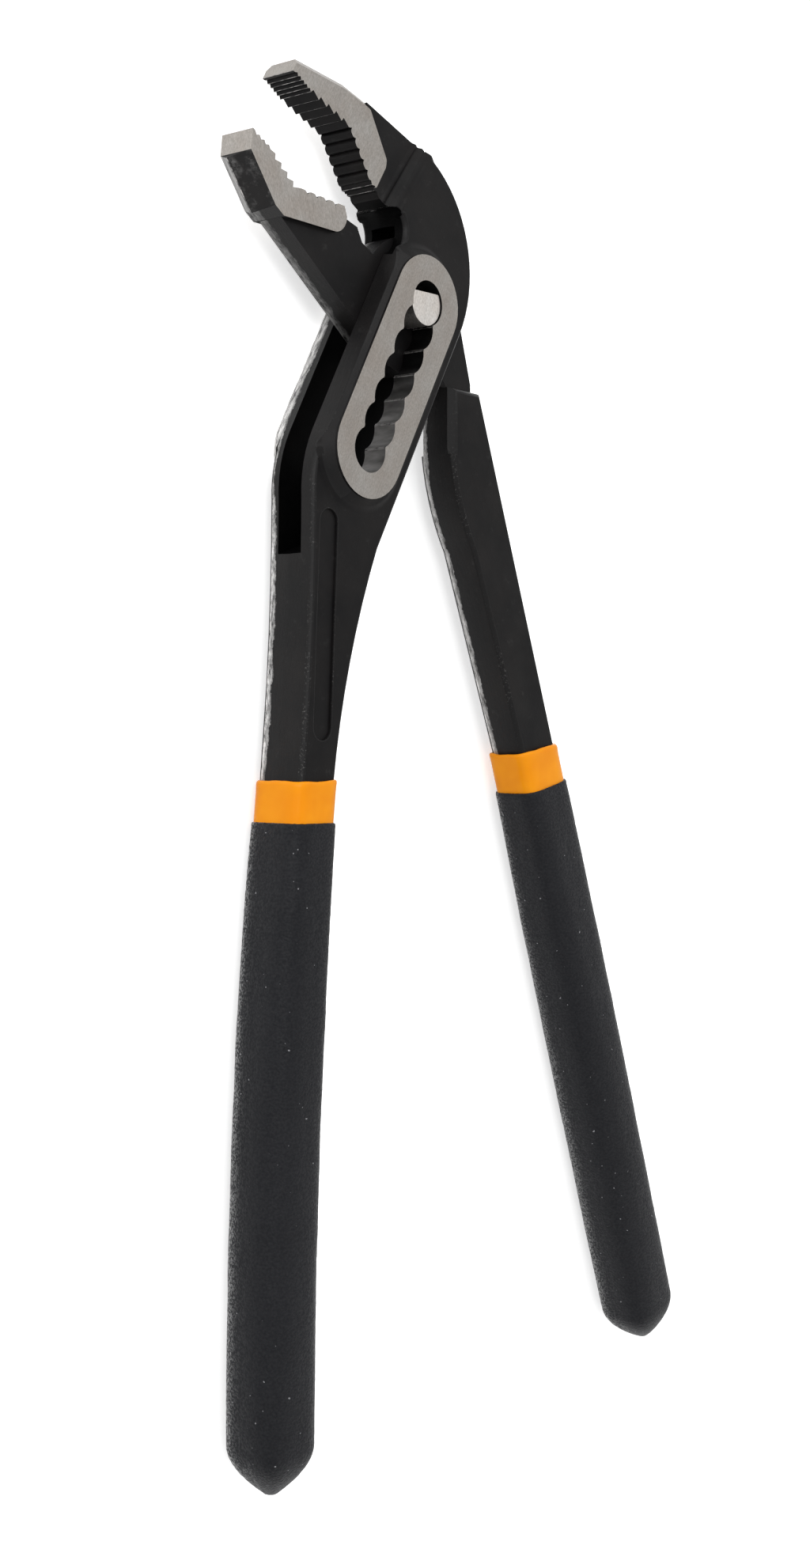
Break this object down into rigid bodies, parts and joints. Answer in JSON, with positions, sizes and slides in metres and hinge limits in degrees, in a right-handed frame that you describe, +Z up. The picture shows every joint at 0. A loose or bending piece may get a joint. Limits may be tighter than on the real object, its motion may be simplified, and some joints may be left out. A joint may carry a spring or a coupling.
{
  "type": "water pump pliers",
  "caption": "Slip-joint water pump pliers with a box joint, scalloped slot and D-ended pin, toothed pipe jaws and double-dipped handles.",
  "frame": {"origin": "on the bench under the middle of the tool's box; the tool lies on its back boss face and grips, as it rests by itself", "axes": "+Y from the handle tips to the jaws, +X from the jaws' open mouth towards the right handle, +Z up through the thickness to the front; the tool's mirror plane is Z = 0.0075"},
  "size_m": [0.1288, 0.246, 0.015],
  "materials": {
    "forged_steel": "black satin scale, bright ground jaws",
    "bright_steel": "ground",
    "amber_dip": "glossy soft vinyl",
    "charcoal_dip": "pebbled matt vinyl"
  },
  "bodies": {
    "outer": {"outer_lever": "forged_steel", "left_under_dip": "amber_dip", "left_grip": "charcoal_dip"},
    "pin": {"pivot_pin": "bright_steel"},
    "inner": {"inner_lever": "forged_steel", "right_under_dip": "amber_dip", "right_grip": "charcoal_dip"}
  },
  "joints": [
    {"name": "pin_shift", "type": "slide", "parent": "outer", "child": "pin", "axis": [-0.497, -0.8678, 0], "range_m": [0, 0.0318]},
    {"name": "jaw_pivot", "type": "hinge", "parent": "pin", "child": "inner", "pos_m": [-0.02183, 0.08565, 0.0075], "axis": [0, 0, 1], "range_deg": [-18, 57]}
  ]
}
